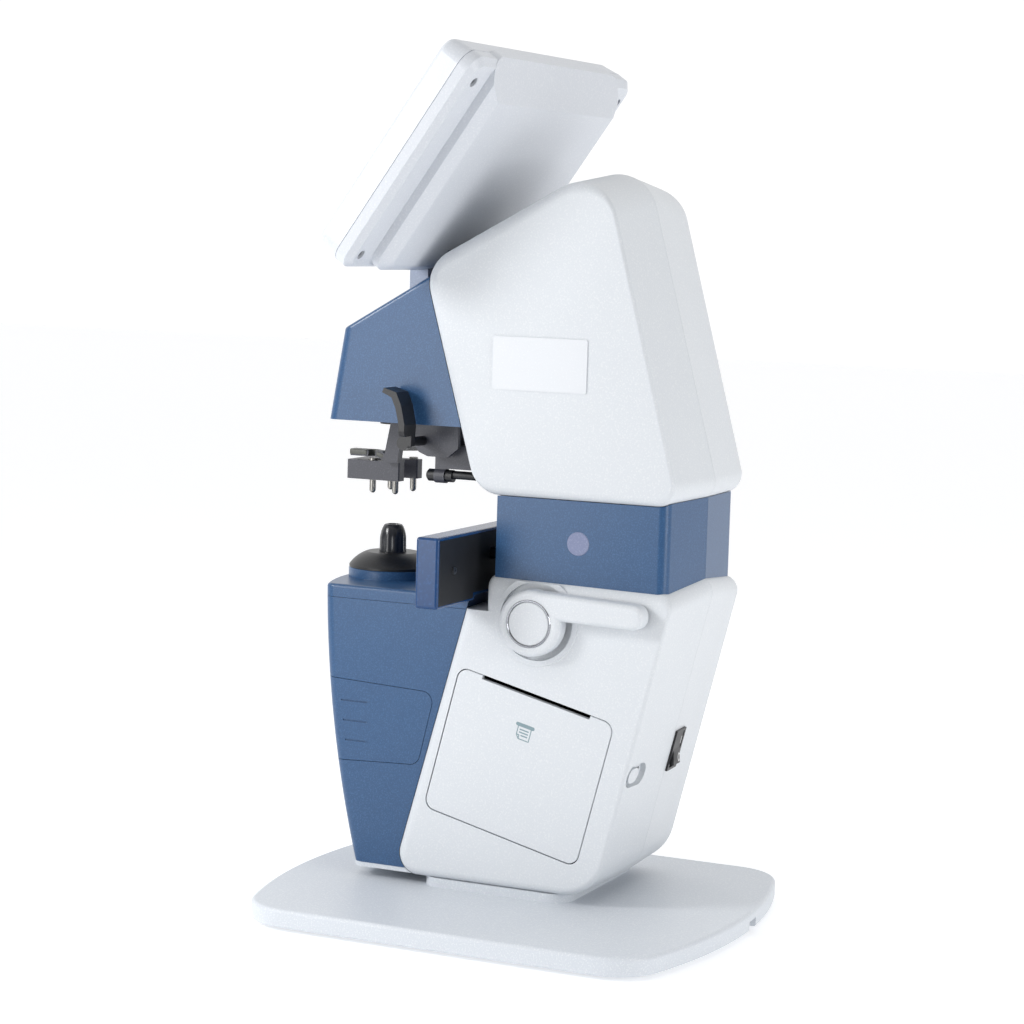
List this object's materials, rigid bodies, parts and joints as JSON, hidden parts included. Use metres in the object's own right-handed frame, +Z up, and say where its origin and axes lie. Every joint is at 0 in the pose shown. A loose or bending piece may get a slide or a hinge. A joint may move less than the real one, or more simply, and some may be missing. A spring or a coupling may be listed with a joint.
{
  "type": "auto lensmeter",
  "caption": "Bench auto lensmeter: C-shaped tower on a flat base, lens table with side lever, pin lens holder, tilting display, printer cover and rear switch",
  "frame": {"origin": "centre of the box's underside, on the surface the feet stand on", "axes": "+Z up along the tower, -Y towards the operator, +X the operator's right"},
  "size_m": [0.2308, 0.247, 0.4436],
  "materials": {
    "white_paint": "cool white moulded plastic, fine satin texture",
    "blue_paint": "slate blue plastic with a fine metallic speckle",
    "base_paint": "cool white powder coat on a cast plate",
    "black_plastic": "satin black plastic",
    "grey_plastic": "dark grey satin plastic",
    "grey_blue_plastic": "light grey-blue plastic",
    "rubber": "black rubber",
    "steel": "plain steel",
    "chrome": "bright ring",
    "aluminium": "machined cast aluminium",
    "brass": "turned brass",
    "glass": "clear optical glass",
    "screen": "dark touch panel",
    "board": "green circuit board",
    "paper": "thermal paper",
    "lilac_plastic": "muted lilac plug",
    "plate": "bare glossy plate"
  },
  "bodies": {
    "tower": {"base_plate": "base_paint", "rubber_feet": "rubber", "plinths": "white_paint", "cord_grommet": "rubber", "chassis": "aluminium", "frame_and_housing_screws": "steel", "lower_housing_right": "white_paint", "lower_housing_left": "white_paint", "upper_housing_right": "white_paint", "upper_housing_left": "white_paint", "neck_cover_right": "blue_paint", "neck_cover_left": "blue_paint", "neck_plugs": "lilac_plastic", "name_plate": "plate", "front_column": "blue_paint", "column_cap": "blue_paint", "nosepiece_ring": "blue_paint", "lens_dome": "black_plastic", "nosepiece": "black_plastic", "nosepiece_window": "glass", "sensor_tube": "black_plastic", "sensor_board": "board", "head_cover": "blue_paint", "light_barrel": "black_plastic", "collimator_lens": "glass", "print_head": "black_plastic", "printer_tray": "black_plastic", "power_switch_body": "black_plastic", "holder_guide_rod": "steel", "holder_bracket": "grey_plastic", "display_neck": "grey_blue_plastic", "main_board": "board", "power_supply": "steel"},
    "lens_table": {"table_bar": "blue_paint", "table_insert": "black_plastic", "table_screws": "steel", "table_rods": "steel", "table_rack": "brass"},
    "table_lever_set": {"table_lever": "white_paint", "lever_ring": "chrome", "lever_cap": "white_paint", "lever_shaft": "steel", "lever_pinion": "brass"},
    "printer_cover": {"printer_door": "white_paint"},
    "platen": {"platen_roller": "rubber"},
    "paper": {"paper_roll": "paper"},
    "release": {"release_slider": "white_paint"},
    "rocker": {"power_rocker": "black_plastic"},
    "lens_holder": {"holder_block": "grey_plastic", "holder_end_cap": "grey_plastic", "holder_strut": "grey_plastic"},
    "pins": {"lens_pins": "steel"},
    "holder_lever_set": {"holder_lever": "black_plastic"},
    "marking_pin": {"marker": "black_plastic"},
    "display": {"display_bezel": "white_paint", "display_panel": "screen", "display_rear_shell": "white_paint", "display_screws": "steel", "display_hinge_pin": "steel"},
    "service_cover": {"column_access_cover": "blue_paint"}
  },
  "joints": [
    {"name": "table_slide", "type": "slide", "parent": "tower", "child": "lens_table", "axis": [0, -1, 0], "range_m": [0, 0.024]},
    {"name": "table_lever_turn", "type": "hinge", "parent": "tower", "child": "table_lever_set", "pos_m": [0.03515, 0.0158, 0.1558], "axis": [1, 0, 0], "range_deg": [0, 114.6]},
    {"name": "printer_cover_hinge", "type": "hinge", "parent": "tower", "child": "printer_cover", "pos_m": [0.03275, -0.00005, 0.04914], "axis": [0, 0.9707, -0.2402], "range_deg": [0, 80]},
    {"name": "platen_turn", "type": "hinge", "parent": "printer_cover", "child": "platen", "pos_m": [0.02635, 0.0146, 0.10835], "axis": [0, 0.9707, -0.2402], "continuous": true},
    {"name": "paper_turn", "type": "hinge", "parent": "tower", "child": "paper", "pos_m": [0.00335, 0.00715, 0.07826], "axis": [0, 0.9707, -0.2402], "continuous": true},
    {"name": "release_slide", "type": "slide", "parent": "tower", "child": "release", "axis": [0.9986, -0.0532, 0], "range_m": [0, 0.002], "stiffness_N_per_m": 200},
    {"name": "power_rock", "type": "hinge", "parent": "tower", "child": "rocker", "pos_m": [-0.02304, 0.06704, 0.08794], "axis": [-0.9986, -0.0532, 0], "range_deg": [0, 16]},
    {"name": "holder_slide", "type": "slide", "parent": "tower", "child": "lens_holder", "axis": [0, 0, -1], "range_m": [0, 0.016], "stiffness_N_per_m": 40, "springref_m": -0.02},
    {"name": "pin_slide", "type": "slide", "parent": "lens_holder", "child": "pins", "axis": [0, 0, 1], "range_m": [0, 0.004], "stiffness_N_per_m": 100, "springref_m": -0.002},
    {"name": "holder_lever_turn", "type": "hinge", "parent": "tower", "child": "holder_lever_set", "pos_m": [0.02515, -0.06, 0.242], "axis": [1, 0, 0], "range_deg": [0, 35.1]},
    {"name": "marking_slide", "type": "slide", "parent": "tower", "child": "marking_pin", "axis": [0, -1, 0], "range_m": [0, 0.01]},
    {"name": "display_tilt", "type": "hinge", "parent": "tower", "child": "display", "pos_m": [-0.01485, -0.06527, 0.33734], "axis": [1, 0, 0], "range_deg": [0, 20]},
    {"name": "service_cover_pull", "type": "slide", "parent": "tower", "child": "service_cover", "axis": [0, -1, 0], "range_m": [0, 0.04]}
  ],
  "couplings": [
    {"joint": "table_lever_turn", "follows": "table_slide", "rad_per_m": 83.333},
    {"joint": "holder_lever_turn", "follows": "holder_slide", "rad_per_m": 38.2}
  ]
}
